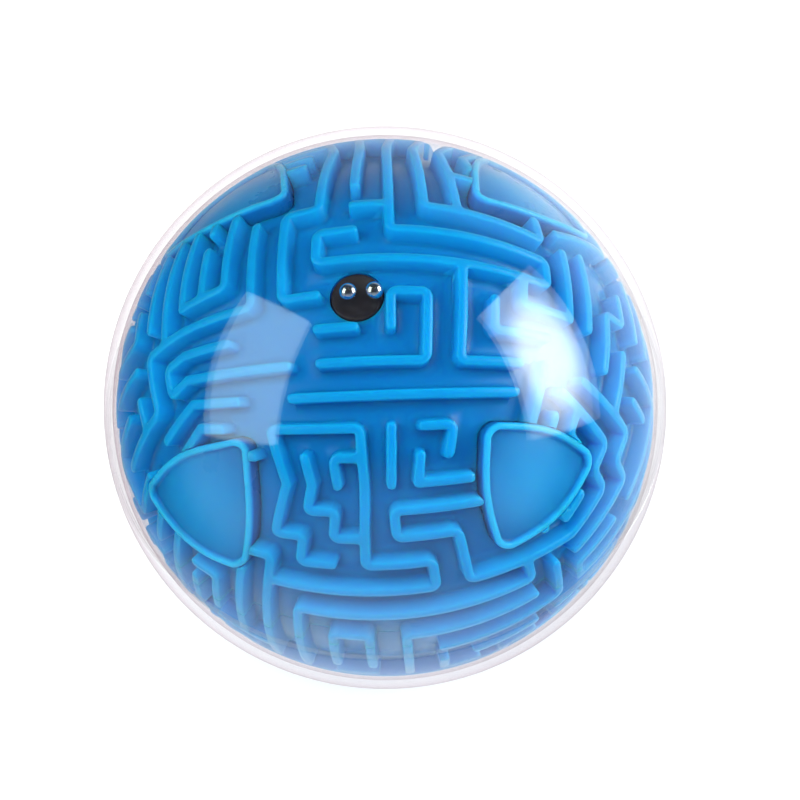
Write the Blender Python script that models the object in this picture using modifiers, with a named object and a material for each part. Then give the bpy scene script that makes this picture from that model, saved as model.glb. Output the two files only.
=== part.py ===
"""Three-dimensional maze ball: a clear shell around a spherical labyrinth with steel balls.

Metres, +Z up, origin at the centre of the sphere.  The maze is drawn on the six faces of a
cube blown up to a sphere: +Z is the top panel, -Y the front panel.  The clear shell and the
maze core both split on the plane z = 0.
"""
import math
import random

import bmesh
import bpy
from mathutils import Matrix, Vector

# ---------------------------------------------------------------- driving dimensions (metres)
OUTER_D = 0.1020          # clear shell, outside diameter
SHELL_T = 0.0016          # clear shell wall
WALL_TOP_R = 0.0487       # maze wall tops
FLOOR_R = 0.0454          # channel floor
CORE_IN_R = 0.0436        # inside of the hollow core
WALL_W = 0.0019           # maze wall width at a panel's middle
CELLS = 13                # cells across one panel
GAP = 0.0003              # clearance between touching pieces
SEAM = 0.00015            # half of the gap at the z = 0 split

LIP_H = 0.0012            # tongue of the upper shell half
LIP_T = 0.00065

CAP_RIM_W = 0.0017        # rim of a corner cap
CAP_DISH = 0.0007         # step from the rim down to the dish
CAP_PLATE = 0.0016        # plate thickness
CAP_HOLE = 0.055          # the hole's outline over the cap's outline, as a fraction

CUP_R = 0.0045            # finish cup in the top panel's pocket
CUP_NODE = (6.06, 6.07)   # where it is centred, in lattice steps
CUP_LIP = 0.0002          # its edge, under the channel floor
CUP_DISH = 0.0007         # its middle, under the channel floor
CUP_FLANGE_W = 0.0014     # flange behind the core, wider than the cup
CUP_FLANGE_Z = (0.0032, 0.0041)   # its two faces, under the channel floor

FLANGE_IN_R = 0.0355      # joining flange inside the core
FLANGE_T = 0.0026         # its thickness on each half
FIX_R = 0.0390            # circle of the screws and dowels
SCREWS = 4
SCREW_R = 0.0011
SCREW_TIP = (0.0033, 0.0037)      # where the tip's cone starts and ends, over the split
SCREW_HEAD_R = 0.0022
SCREW_HEAD_H = 0.0016
SCREW_HEAD_ROUND = 0.0005
SOCKET_R = 0.0006         # drive socket in the screw's head
SOCKET_H = 0.0008
SCREW_HOLE_H = 0.0040     # the screw's hole over and under the split
DOWELS = 2
DOWEL_R = 0.0012
DOWEL_H = 0.0019          # the dowel over and under the split
DOWEL_ROUND = 0.0003

BALL_D = 0.003175         # steel balls, 1/8 in
BALL_R_PATH = FLOOR_R + GAP + BALL_D / 2
BALL_COLUMN = {"steel_ball_left": -5.0, "steel_ball_right": 0.5}   # degrees from the panel's middle
BALL_REST = -3.3          # degrees along the column

SHELL_STEPS, SHELL_RINGS = 36, 9
HOLLOW_STEPS, HOLLOW_RINGS = 28, 7
CUP_STEPS, HOLE_STEPS, PIN_STEPS = 24, 12, 12
BALL_STEPS, BALL_RINGS = 16, 8
FAR = 0.06                # beyond every part of the ball
WELD = 0.00001            # vertices closer than this are one

# ---------------------------------------------------------------- maze layout
# Lattice nodes run 0..13 along both directions of a panel; a wall is a chain of nodes.
TOP_WALLS = [
    [(4, 3), (11, 3)], [(5, 4), (8, 4), (8, 6), (7, 6), (7, 5)], [(5, 5), (6, 5)],
    [(6, 8), (5, 8), (5, 7), (12, 7), (12, 8), (7, 8), (7, 13)],
    [(9, 7), (9, 4), (11, 4)], [(8, 13), (8, 9), (12, 9), (12, 10)], [(9, 13), (9, 9)],
    [(6, 9), (7, 9)], [(6, 13), (6, 10)], [(5, 13), (5, 9), (4, 9), (4, 6), (5, 6)],
    [(3, 9), (3, 6), (0, 6)], [(3, 0), (3, 2), (6, 2), (6, 0)], [(6, 1), (5, 1), (5, 0)],
    [(4, 1), (4, 0)], [(7, 2), (7, 0)], [(8, 2), (9, 2), (9, 1)], [(8, 1), (8, 0), (10, 0)],
    [(2, 10), (2, 7)], [(1, 9), (1, 7)], [(0, 5), (2, 5)], [(0, 4), (4, 4)], [(0, 3), (2, 3)],
    [(13, 9), (13, 6)], [(10, 6), (10, 5), (12, 5)], [(11, 6), (13, 6)], [(12, 4), (12, 2)],
]
FRONT_WALLS = [
    [(6, 13), (6, 10), (8, 10), (8, 9), (3, 9)], [(1, 10), (3, 10), (3, 4)],
    [(10, 12), (7, 12), (7, 11), (9, 11), (9, 9), (13, 9)], [(11, 9), (11, 8), (4, 8), (4, 4)],
    [(4, 13), (4, 12), (5, 12), (5, 11), (6, 11)], [(3, 13), (3, 11), (4, 11), (4, 10), (5, 10)],
    [(2, 9), (2, 5)], [(5, 5), (5, 7), (6, 7), (6, 5)], [(7, 4), (7, 7), (11, 7)],
    [(8, 6), (12, 6)], [(0, 8), (1, 8), (1, 6)], [(12, 8), (12, 7)], [(8, 5), (8, 4)],
    [(2, 3), (11, 3)],
]
LEFT_WALLS = [
    [(7, 13), (7, 12)], [(8, 13), (8, 12), (9, 12), (9, 13)], [(10, 13), (10, 11)],
    [(7, 11), (9, 11), (9, 9)],
]
RIGHT_WALLS = [
    [(3, 13), (3, 10), (2, 10), (2, 9), (0, 9)], [(4, 12), (4, 9), (3, 9), (3, 8), (1, 8)],
    [(5, 11), (7, 11), (7, 10)], [(6, 12), (9, 12)],
]
BACK_WALLS = [[(k, 13), (k, 11)] for k in range(4, 9)]
LAID_WALLS = {"top": TOP_WALLS, "front": FRONT_WALLS, "left": LEFT_WALLS, "right": RIGHT_WALLS,
              "back": BACK_WALLS}
LAID_CELLS = [            # panel, columns and rows of the cells whose walls are all listed above
    ("top", range(3, 11), range(0, 11)),
    ("top", range(0, 3), range(2, 6)),
    ("top", range(5, 9), range(11, 13)),
    ("front", range(1, 12), range(5, 13)),
    ("left", range(7, 11), range(10, 13)),
    ("right", range(3, 9), range(10, 13)),
    ("right", range(0, 4), range(8, 10)),
    ("back", range(4, 8), range(11, 13)),
]
MAZE_SEED = 11
OPEN_BORDER = 0.55        # share of the open walls between laid and grown cells
STRAIGHT_ON = 0.62        # share of the walk's steps that keep their direction
OPEN_ENDS = 0.65          # share of the dead ends that are opened
LOOSE = 0.15              # share of the other grown cells that lose a wall

PANELS = {                # normal, first direction, second direction
    "top": ((0, 0, 1), (1, 0, 0), (0, 1, 0)),
    "bottom": ((0, 0, -1), (1, 0, 0), (0, -1, 0)),
    "front": ((0, -1, 0), (1, 0, 0), (0, 0, 1)),
    "back": ((0, 1, 0), (-1, 0, 0), (0, 0, 1)),
    "right": ((1, 0, 0), (0, 1, 0), (0, 0, 1)),
    "left": ((-1, 0, 0), (0, -1, 0), (0, 0, 1)),
}
# Corner caps: degrees of the three outline corners on the z, y and x panels they reach.
CAPS = {
    (1, -1, 1): ((26.7, 32.8), (26.9, 23.9), (30.2, 27.7)),
    (-1, -1, 1): ((32.4, 34.1), (31.5, 19.0), (25.6, 14.0)),
    (-1, 1, 1): ((19.5, 25.5), (26.5, 28.5), (27.0, 26.5)),
    (1, 1, 1): ((23.5, 24.5), (27.0, 28.0), (28.5, 27.0)),
    (1, -1, -1): ((27.0, 29.0), (29.0, 27.0), (27.0, 27.0)),
    (-1, -1, -1): ((29.0, 27.0), (27.0, 26.5), (28.0, 27.0)),
    (-1, 1, -1): ((27.0, 27.0), (28.0, 27.0), (27.0, 28.5)),
    (1, 1, -1): ((28.0, 28.0), (27.0, 27.0), (28.0, 27.0)),
}
CAP_ROUND = 0.13          # share of an edge that its rounded corner takes
CAP_BULGE = 0.045         # how far an edge's middle bows out, in radians

# ---------------------------------------------------------------- scene and materials
for old in list(bpy.data.objects):
    bpy.data.objects.remove(old, do_unlink=True)

parts = bpy.data.collections.new("tilt_maze_ball")
cutters = bpy.data.collections.new("cutters")
bpy.context.scene.collection.children.link(parts)
bpy.context.scene.collection.children.link(cutters)


def material(name, colour, rough, metal=0.0, alpha=1.0, transmission=0.0):
    mat = bpy.data.materials.new(name)
    mat.use_nodes = True
    bsdf = mat.node_tree.nodes["Principled BSDF"]
    bsdf.inputs["Base Color"].default_value = (*colour, 1.0)
    bsdf.inputs["Roughness"].default_value = rough
    bsdf.inputs["Metallic"].default_value = metal
    bsdf.inputs["Alpha"].default_value = alpha
    bsdf.inputs["Transmission Weight"].default_value = transmission
    mat.diffuse_color = (*colour, alpha)
    return mat


MAT = {
    "clear": material("clear_plastic", (0.93, 0.94, 0.96), 0.04, alpha=0.25, transmission=1.0),
    "maze": material("blue_plastic", (0.004, 0.16, 0.52), 0.35),
    "cap": material("blue_cap_plastic", (0.03, 0.30, 0.68), 0.30),
    "cup": material("black_rubber", (0.012, 0.011, 0.012), 0.55),
    "steel": material("polished_steel", (0.62, 0.62, 0.63), 0.08, metal=1.0),
    "zinc": material("zinc_steel", (0.45, 0.46, 0.47), 0.35, metal=1.0),
}


def add_object(name, bm, mat, smooth=None, into=None):
    """Turn a bmesh into a named object, its faces pointing out."""
    bmesh.ops.recalc_face_normals(bm, faces=bm.faces)
    mesh = bpy.data.meshes.new(name)
    bm.to_mesh(mesh)
    bm.free()
    if smooth is not None:
        mesh.shade_smooth()
        mesh.set_sharp_from_angle(angle=math.radians(smooth))
    ob = bpy.data.objects.new(name, mesh)
    if mat:
        mesh.materials.append(MAT[mat])
    (into or parts).objects.link(ob)
    return ob


def cutter(ob):
    ob.hide_render = True
    ob.display_type = "WIRE"
    return ob


def boolean(ob, other, operation):
    mod = ob.modifiers.new(operation.lower() + "_" + other.name, "BOOLEAN")
    mod.object = other
    mod.operation = operation
    mod.solver = "EXACT"


def turned(name, profile, steps, mat):
    """A profile of (radius, height) points turned once about Z, outer side top to bottom."""
    bm = bmesh.new()
    verts = [bm.verts.new((r, 0.0, z)) for r, z in profile]
    for a, b in zip(verts, verts[1:]):
        bm.edges.new((a, b))
    mesh = bpy.data.meshes.new(name)
    bm.to_mesh(mesh)
    bm.free()
    ob = bpy.data.objects.new(name, mesh)
    if mat:
        mesh.materials.append(MAT[mat])
        parts.objects.link(ob)
    else:
        cutters.objects.link(ob)
        cutter(ob)
    screw = ob.modifiers.new("turn", "SCREW")
    screw.steps = screw.render_steps = steps
    screw.use_merge_vertices = True
    screw.merge_threshold = 0.00002
    screw.use_smooth_shade = True
    return ob


# ---------------------------------------------------------------- lattice on the sphere
def lattice(k):
    """Angle of lattice line k: midway between equal angles and equal steps on a flat panel."""
    s = (k - CELLS / 2) / (CELLS / 2)
    return 0.5 * (math.pi / 4 * s + math.atan(s))


def direction(panel, u, v):
    n, a, b = (Vector(x) for x in PANELS[panel])
    return (n + math.tan(u) * a + math.tan(v) * b).normalized()


def node_key(panel, k, m):
    """Whole-number place of a lattice node on the cube, the same from either panel of an edge."""
    n, a, b = PANELS[panel]
    return tuple(CELLS * n[i] + (2 * k - CELLS) * a[i] + (2 * m - CELLS) * b[i] for i in range(3))


def segment_key(panel, a, b):
    return tuple(p + q for p, q in zip(node_key(panel, *a), node_key(panel, *b)))


def cell_sides(panel, i, j):
    corners = [(i, j), (i + 1, j), (i + 1, j + 1), (i, j + 1)]
    return [segment_key(panel, corners[n], corners[(n + 1) % 4]) for n in range(4)]


def chain_segments(panel, chain):
    for (k0, m0), (k1, m1) in zip(chain, chain[1:]):
        steps = max(abs(k1 - k0), abs(m1 - m0))
        dk, dm = (k1 - k0) // steps, (m1 - m0) // steps
        for n in range(steps):
            a = (k0 + dk * n, m0 + dm * n)
            yield segment_key(panel, a, (a[0] + dk, a[1] + dm))


def grow_maze():
    """Wall segments of the whole ball: those laid out above, the rest by a seeded walk."""
    sides, cells = {}, {}
    for panel in PANELS:
        for i in range(CELLS):
            for j in range(CELLS):
                cells[panel, i, j] = cell_sides(panel, i, j)
                for s in cells[panel, i, j]:
                    sides.setdefault(s, []).append((panel, i, j))
    drawn = set()
    for panel, chains in LAID_WALLS.items():
        for chain in chains:
            drawn.update(chain_segments(panel, chain))
    laid = {(p, i, j) for p, cols, rows in LAID_CELLS for i in cols for j in rows}
    walls = set(drawn)
    rng = random.Random(MAZE_SEED)
    for s, pair in sorted(sides.items()):
        if not all(c in laid for c in pair):
            if any(c in laid for c in pair) and s not in drawn and rng.random() < OPEN_BORDER:
                continue
            walls.add(s)
    seen = set(laid)
    for start in sorted(c for c in cells if c not in laid):
        if start in seen:
            continue
        seen.add(start)
        stack, last = [start], None
        while stack:
            here = stack[-1]
            ways = [(s, c) for n, s in enumerate(cells[here]) for c in sides[s]
                    if c not in seen and c != here and s not in drawn]
            if not ways:
                stack.pop()
                last = None
                continue
            straight = [w for w in ways if cells[here].index(w[0]) == last]
            s, c = straight[0] if straight and rng.random() < STRAIGHT_ON else rng.choice(ways)
            last = cells[here].index(s) if c[0] == here[0] else None
            walls.discard(s)
            seen.add(c)
            stack.append(c)
    # open most dead ends, and a few walls more, so that the corridors join up
    for c in sorted(c for c in cells if c not in laid):
        shut = [s for s in cells[c] if s in walls and s not in drawn]
        if (len(shut) > 2 and rng.random() < OPEN_ENDS) or (shut and rng.random() < LOOSE):
            walls.discard(rng.choice(shut))
    return walls


# ---------------------------------------------------------------- maze core
def core_blank():
    """The whole ball with its walls standing, still solid."""
    walls = grow_maze()
    nodes = {}                # the directions that a node's walls leave in, seen from each panel
    for panel in PANELS:
        for k in range(CELLS + 1):
            for m in range(CELLS + 1):
                ways = [(dk, dm) for dk, dm in ((-1, 0), (1, 0), (0, -1), (0, 1))
                        if 0 <= k + dk <= CELLS and 0 <= m + dm <= CELLS
                        and segment_key(panel, (k, m), (k + dk, m + dm)) in walls]
                nodes[panel, k, m] = ways
    walled = {node_key(*n) for n, ways in nodes.items() if ways}
    bm = bmesh.new()
    lines = 2 * CELLS + 2
    half = WALL_W / 2 / WALL_TOP_R
    for panel in PANELS:
        grid = bmesh.ops.create_grid(bm, x_segments=lines - 1, y_segments=lines - 1, size=1.0)
        index = {}
        for vert in grid["verts"]:
            a = round((vert.co.x + 1) / 2 * (lines - 1))
            b = round((vert.co.y + 1) / 2 * (lines - 1))
            index[vert] = (a, b)
            u, v = lattice(a // 2), lattice(b // 2)
            # walls keep most of their width where the lattice draws together
            stretch = 1 / math.sqrt((1 + math.tan(u) ** 2 + math.tan(v) ** 2))
            wide = half / stretch ** 0.5
            sa = 0 if a in (0, lines - 1) else (-1 if a % 2 == 0 else 1)
            sb = 0 if b in (0, lines - 1) else (-1 if b % 2 == 0 else 1)
            if 0 < a // 2 < CELLS and 0 < b // 2 < CELLS:
                # a node that its wall only passes or ends at needs no square of its own
                ways = nodes[panel, a // 2, b // 2]
                if len({abs(w[0]) for w in ways}) < 2:
                    along = sum(w[0] for w in ways) if ways and ways[0][0] else 0
                    across = sum(w[1] for w in ways) if ways and ways[0][1] else 0
                    if not ways or ways[0][0]:
                        sa = -along
                    if not ways or ways[0][1]:
                        sb = -across
            vert.co = FLOOR_R * direction(panel, u + sa * wide, v + sb * wide)
        for face in {f for vert in grid["verts"] for f in vert.link_faces}:
            i = min(index[v][0] for v in face.verts)
            j = min(index[v][1] for v in face.verts)
            k, m = i // 2, j // 2
            if i % 2 == 0 and j % 2 == 0:
                wall = node_key(panel, k, m) in walled
            elif j % 2 == 0:
                wall = segment_key(panel, (k, m), (k + 1, m)) in walls
            elif i % 2 == 0:
                wall = segment_key(panel, (k, m), (k, m + 1)) in walls
            else:
                wall = False
            face.material_index = int(wall)      # kept through the merge below
    bmesh.ops.remove_doubles(bm, verts=bm.verts, dist=WELD)
    raised = [f for f in bm.faces if f.material_index == 1]
    out = bmesh.ops.extrude_face_region(bm, geom=raised)
    bmesh.ops.delete(bm, geom=raised, context="FACES")
    for vert in (g for g in out["geom"] if isinstance(g, bmesh.types.BMVert)):
        vert.co = vert.co.normalized() * WALL_TOP_R
    for face in bm.faces:
        face.material_index = 0
    bmesh.ops.triangulate(bm, faces=bm.faces)   # curved quads would leave slivers in the cuts
    return bm


def cap_corners(corner, grow=0.0):
    """Directions of the three outline corners, moved out from their middle by a fraction."""
    sx, sy, sz = corner
    (a, b), (c, d), (e, f) = ([math.tan(math.radians(x)) for x in pair] for pair in CAPS[corner])
    tips = [Vector((sx * a, sy * b, sz)), Vector((sx * c, sy, sz * d)), Vector((sx, sy * e, sz * f))]
    tips = [t.normalized() for t in tips]
    mid = sum(tips, Vector()) / 3
    return [(mid + (t - mid) * (1 + grow)).normalized() for t in tips]


def cap_outline(corner, grow=0.0):
    """Directions round a spherical triangle with rounded corners, 15 of them."""
    tips = cap_corners(corner, grow)
    starts = []
    for n in range(3):
        here, before, after = tips[n], tips[n - 1], tips[(n + 1) % 3]
        p0, p2 = here.slerp(before, CAP_ROUND), here.slerp(after, CAP_ROUND)
        starts.append((p0, (p0 * 0.25 + here * 0.5 + p2 * 0.25).normalized(), p2))
    points = []
    for n in range(3):
        points += starts[n]
        points += [starts[n][2].slerp(starts[(n + 1) % 3][0], t) for t in (1 / 3, 2 / 3)]
    mid = sum(tips, Vector()).normalized()
    bowed = []
    for n, p in enumerate(points):
        bow = CAP_BULGE * (0.45, 0.0, 0.45, 1.0, 1.0)[n % 5]
        away = (p - mid * p.dot(mid)).normalized()
        bowed.append((p + away * bow).normalized())
    return bowed


def cap_prism(bm, corner, low, high, grow=0.0):
    """Close a column of the cap's outline between two radii; returns its outer face."""
    points = cap_outline(corner, grow)
    ring = bmesh.ops.create_circle(bm, segments=len(points), radius=1.0, cap_ends=True)["verts"]
    for vert, p in zip(ring, points):
        vert.co = p * low
    base = next(f for f in ring[0].link_faces if len(f.verts) == len(points))
    out = bmesh.ops.extrude_face_region(bm, geom=[base], use_keep_orig=True)["geom"]
    face = next(g for g in out if isinstance(g, bmesh.types.BMFace))
    for vert in face.verts:
        vert.co = vert.co.normalized() * high
    return base, face


def sink(bm, face, inset, radius, centre):
    """Step a closed outline inwards, then to a radius, and give it a middle at another one."""
    ring = bmesh.ops.extrude_face_region(bm, geom=[face])["geom"]
    bmesh.ops.delete(bm, geom=[face], context="FACES_ONLY")
    inner = next(g for g in ring if isinstance(g, bmesh.types.BMFace))
    mid = sum((v.co for v in inner.verts), Vector()) / len(inner.verts)
    reach = min((v.co - mid).length for v in inner.verts)
    for vert in inner.verts:
        r = vert.co.length
        vert.co = (mid + (vert.co - mid) * (1 - inset / reach)).normalized() * r
    ring = bmesh.ops.extrude_face_region(bm, geom=[inner])["geom"]
    bmesh.ops.delete(bm, geom=[inner], context="FACES_ONLY")
    floor = next(g for g in ring if isinstance(g, bmesh.types.BMFace))
    for vert in floor.verts:
        vert.co = vert.co.normalized() * radius
    if centre:
        ring = bmesh.ops.extrude_face_region(bm, geom=[floor])["geom"]
        bmesh.ops.delete(bm, geom=[floor], context="FACES_ONLY")
        floor = next(g for g in ring if isinstance(g, bmesh.types.BMFace))
        mid = sum((v.co for v in floor.verts), Vector()) / len(floor.verts)
        for vert in floor.verts:
            vert.co = (mid + (vert.co - mid) * 0.5).normalized() * centre
    hub = bmesh.ops.poke(bm, faces=[floor])["verts"][0]
    hub.co = hub.co.normalized() * (centre or radius)


def box_cutter(name, low, high):
    bm = bmesh.new()
    bmesh.ops.create_cube(bm, size=1.0)
    for v in bm.verts:
        v.co = Vector([low[n] if v.co[n] < 0 else high[n] for n in range(3)])
    return cutter(add_object(name, bm, None, into=cutters))


def arc(radius, z_seam, rising, rings=SHELL_RINGS):
    """Profile points of a hemisphere from the height z_seam up to the pole, or back down."""
    start = math.asin(z_seam / radius)
    pts = [(radius * math.cos(t), radius * math.sin(t))
           for t in (start + (math.pi / 2 - start) * n / rings for n in range(rings + 1))]
    pts[-1] = (0.0, radius)
    return pts if rising else pts[::-1]


half_hollow = arc(CORE_IN_R, FLANGE_T, False, HOLLOW_RINGS) + [(FLANGE_IN_R, FLANGE_T)]
hollow = turned("core_hollow", half_hollow + [(r, -z) for r, z in half_hollow[::-1]],
                HOLLOW_STEPS, None)

holes = bmesh.new()
for corner in CAPS:
    cap_prism(holes, corner, CORE_IN_R - 0.005, WALL_TOP_R + 0.005, CAP_HOLE)
bmesh.ops.triangulate(holes, faces=holes.faces)
cap_holes = cutter(add_object("cap_holes", holes, None, into=cutters))

cup_axis = direction("top", lattice(CUP_NODE[0]), lattice(CUP_NODE[1]))
cup_turn = Vector((0, 0, 1)).rotation_difference(cup_axis)
cup_at = cup_turn.to_matrix().to_4x4() @ Matrix.Translation((0, 0, FLOOR_R - 0.001))
cup_hole = bmesh.new()
bmesh.ops.create_cone(cup_hole, cap_ends=True, segments=CUP_STEPS, radius1=CUP_R + GAP,
                      radius2=CUP_R + GAP, depth=0.006, matrix=cup_at)
cup_hole = cutter(add_object("cup_hole", cup_hole, None, into=cutters))

screw_at, dowel_at = {}, {}
for n in range(SCREWS):
    a = math.tau * (n + 0.5) / SCREWS
    screw_at["core_screw_%d" % (n + 1)] = (FIX_R * math.cos(a), FIX_R * math.sin(a))
for n in range(DOWELS):
    a = math.tau * n / DOWELS
    dowel_at["core_dowel_%d" % (n + 1)] = (FIX_R * math.cos(a), FIX_R * math.sin(a))

fix_holes = bmesh.new()
for places, radius, high in ((screw_at, SCREW_R, SCREW_HOLE_H), (dowel_at, DOWEL_R, DOWEL_H + GAP)):
    for x, y in places.values():
        bmesh.ops.create_cone(fix_holes, cap_ends=True, segments=HOLE_STEPS, radius1=radius + GAP,
                              radius2=radius + GAP, depth=2 * high,
                              matrix=Matrix.Translation((x, y, 0)))
fix_holes = cutter(add_object("fixing_holes", fix_holes, None, into=cutters))

for name, side in (("core_upper", 1), ("core_lower", -1)):
    core = add_object(name, core_blank(), "maze", smooth=30)
    boolean(core, hollow, "DIFFERENCE")
    low, high = (SEAM, FAR) if side > 0 else (-FAR, -SEAM)
    boolean(core, box_cutter("keep_" + name, (-FAR, -FAR, low), (FAR, FAR, high)), "INTERSECT")
    boolean(core, cap_holes, "DIFFERENCE")
    boolean(core, fix_holes, "DIFFERENCE")
    if side > 0:
        boolean(core, cup_hole, "DIFFERENCE")

# ---------------------------------------------------------------- corner caps
for n, corner in enumerate(CAPS):
    bm = bmesh.new()
    base, face = cap_prism(bm, corner, CORE_IN_R + GAP, WALL_TOP_R)
    sink(bm, face, CAP_RIM_W, WALL_TOP_R - CAP_DISH, WALL_TOP_R - CAP_DISH * 0.6)
    sink(bm, base, CAP_RIM_W, WALL_TOP_R - CAP_DISH - CAP_PLATE, None)
    add_object("corner_cap_%d" % (n + 1), bm, "cap", smooth=35)

# ---------------------------------------------------------------- finish cup
lip, dish = FLOOR_R - CUP_LIP, FLOOR_R - CUP_DISH
flange_top, flange_foot = (FLOOR_R - z for z in CUP_FLANGE_Z)
cup = turned("finish_cup", [(0.0, dish), (CUP_R - 0.0015, dish + 0.0001), (CUP_R - 0.0005, lip),
                            (CUP_R, lip), (CUP_R, flange_top), (CUP_R + CUP_FLANGE_W, flange_top),
                            (CUP_R + CUP_FLANGE_W, flange_foot), (0.0, flange_foot)],
             CUP_STEPS, "cup")
cup.rotation_mode = "QUATERNION"
cup.rotation_quaternion = cup_turn

# ---------------------------------------------------------------- screws and dowels
head = -FLANGE_T - GAP
foot = head - SCREW_HEAD_H
for name, (x, y) in screw_at.items():
    screw = turned(name, [(0.0, SCREW_TIP[1]), (SCREW_R, SCREW_TIP[0]), (SCREW_R, head),
                          (SCREW_HEAD_R, head), (SCREW_HEAD_R, foot + SCREW_HEAD_ROUND),
                          (SCREW_HEAD_R - SCREW_HEAD_ROUND, foot), (SOCKET_R, foot),
                          (SOCKET_R, foot + SOCKET_H), (0.0, foot + SOCKET_H)], PIN_STEPS, "zinc")
    screw.location = (x, y, 0.0)
half_dowel = [(0.0, DOWEL_H), (DOWEL_R - DOWEL_ROUND, DOWEL_H), (DOWEL_R, DOWEL_H - DOWEL_ROUND)]
for name, (x, y) in dowel_at.items():
    dowel = turned(name, half_dowel + [(r, -z) for r, z in half_dowel[::-1]], PIN_STEPS, "zinc")
    dowel.location = (x, y, 0.0)

# ---------------------------------------------------------------- clear shell
R = OUTER_D / 2
IN_R = R - SHELL_T
tongue_r = IN_R + LIP_T
upper = (arc(R, SEAM, False) + [(tongue_r, SEAM), (tongue_r, -LIP_H + SEAM), (IN_R, -LIP_H + SEAM)]
         + arc(IN_R, SEAM, True))
turned("shell_upper", upper, SHELL_STEPS, "clear")
lower = [(r, -z) for r, z in arc(IN_R, LIP_H + SEAM, False)]
lower += [(tongue_r + GAP, -LIP_H - SEAM), (tongue_r + GAP, -SEAM)]
lower += [(r, -z) for r, z in arc(R, SEAM, True)]
turned("shell_lower", lower, SHELL_STEPS, "clear")

# ---------------------------------------------------------------- steel balls
for name, column in BALL_COLUMN.items():
    pivot = bpy.data.objects.new(name + "_pivot", None)
    pivot.rotation_euler = (0.0, math.radians(column), 0.0)   # its X axis is the hinge
    parts.objects.link(pivot)
    bm = bmesh.new()
    bmesh.ops.create_uvsphere(bm, u_segments=BALL_STEPS, v_segments=BALL_RINGS, radius=BALL_D / 2)
    ball = add_object(name, bm, "steel", smooth=60)
    ball.parent = pivot
    t = math.radians(BALL_REST)
    ball.location = (0.0, BALL_R_PATH * math.sin(t), BALL_R_PATH * math.cos(t))
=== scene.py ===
import math
import random

import bmesh
import bpy
import numpy as np
from mathutils import Matrix, Vector


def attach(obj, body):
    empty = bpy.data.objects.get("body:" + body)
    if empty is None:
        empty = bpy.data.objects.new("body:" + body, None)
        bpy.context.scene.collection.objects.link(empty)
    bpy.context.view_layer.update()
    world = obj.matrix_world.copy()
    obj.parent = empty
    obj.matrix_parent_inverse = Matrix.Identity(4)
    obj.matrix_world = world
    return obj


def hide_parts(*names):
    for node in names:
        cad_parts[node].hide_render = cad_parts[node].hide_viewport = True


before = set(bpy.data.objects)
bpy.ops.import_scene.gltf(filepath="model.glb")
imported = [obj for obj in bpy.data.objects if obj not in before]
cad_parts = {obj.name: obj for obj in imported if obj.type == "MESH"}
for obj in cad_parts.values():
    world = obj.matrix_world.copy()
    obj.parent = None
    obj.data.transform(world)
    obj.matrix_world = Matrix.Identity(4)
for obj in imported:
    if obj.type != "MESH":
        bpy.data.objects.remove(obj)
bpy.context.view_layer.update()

# Looks of the maze ball.  Metres, +Z up, origin at the centre of the sphere, as in the CAD part.

# ---------------------------------------------------------------- dimensions of the part
OUTER_R = 0.0510          # clear shell, outside
SHELL_T = 0.0016
WALL_TOP_R = 0.0487
FLOOR_R = 0.0454
CORE_IN_R = 0.0436
WALL_W = 0.0019
CELLS = 13
GAP = 0.0003
SEAM = 0.00015
LIP_H = 0.0012
LIP_T = 0.00065
CAP_HOLE = 0.012          # share by which the hole for a cap is wider than the cap
CUP_R = 0.0045
CUP_NODE = (6.06, 6.07)
FLANGE_IN_R = 0.0355
FLANGE_T = 0.0026
FIX_R = 0.0390
SCREW_R = 0.0011
DOWEL_R = 0.0012
BALL_D = 0.003175
BALL_R_PATH = FLOOR_R + GAP + BALL_D / 2
BALL_COLUMN = {"steel_ball_left": -5.0, "steel_ball_right": 0.5}
BALL_REST = -3.3

# ---------------------------------------------------------------- maze layout
# Lattice nodes run 0..13 along both directions of a panel; a wall is a chain of nodes.
TOP_WALLS = [
    [(4, 3), (11, 3)], [(5, 4), (8, 4), (8, 6), (7, 6), (7, 5)], [(5, 5), (6, 5)],
    [(6, 8), (5, 8), (5, 7), (12, 7), (12, 8), (7, 8), (7, 13)],
    [(9, 7), (9, 4), (11, 4)], [(8, 13), (8, 9), (12, 9), (12, 10)], [(9, 13), (9, 9)],
    [(6, 9), (7, 9)], [(6, 13), (6, 10)], [(5, 13), (5, 9), (4, 9), (4, 6), (5, 6)],
    [(3, 9), (3, 6), (0, 6)], [(3, 0), (3, 2), (6, 2), (6, 0)], [(6, 1), (5, 1), (5, 0)],
    [(4, 1), (4, 0)], [(7, 2), (7, 0)], [(8, 2), (9, 2), (9, 1)], [(8, 1), (8, 0), (10, 0)],
    [(2, 10), (2, 7)], [(1, 9), (1, 7)], [(0, 5), (2, 5)], [(0, 4), (4, 4)], [(0, 3), (2, 3)],
    [(13, 9), (13, 6)], [(10, 6), (10, 5), (12, 5)], [(11, 6), (13, 6)], [(12, 4), (12, 2)],
]
FRONT_WALLS = [
    [(6, 13), (6, 10), (8, 10), (8, 9), (3, 9)], [(1, 10), (3, 10), (3, 4)],
    [(10, 12), (7, 12), (7, 11), (9, 11), (9, 9), (13, 9)], [(11, 9), (11, 8), (4, 8), (4, 4)],
    [(4, 13), (4, 12), (5, 12), (5, 11), (6, 11)], [(3, 13), (3, 11), (4, 11), (4, 10), (5, 10)],
    [(2, 9), (2, 5)], [(5, 5), (5, 7), (6, 7), (6, 5)], [(7, 4), (7, 7), (11, 7)],
    [(8, 6), (12, 6)], [(0, 8), (1, 8), (1, 6)], [(12, 8), (12, 7)], [(8, 5), (8, 4)],
    [(2, 3), (11, 3)],
]
LEFT_WALLS = [
    [(7, 13), (7, 12)], [(8, 13), (8, 12), (9, 12), (9, 13)], [(10, 13), (10, 11)],
    [(7, 11), (9, 11), (9, 9)],
]
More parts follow.
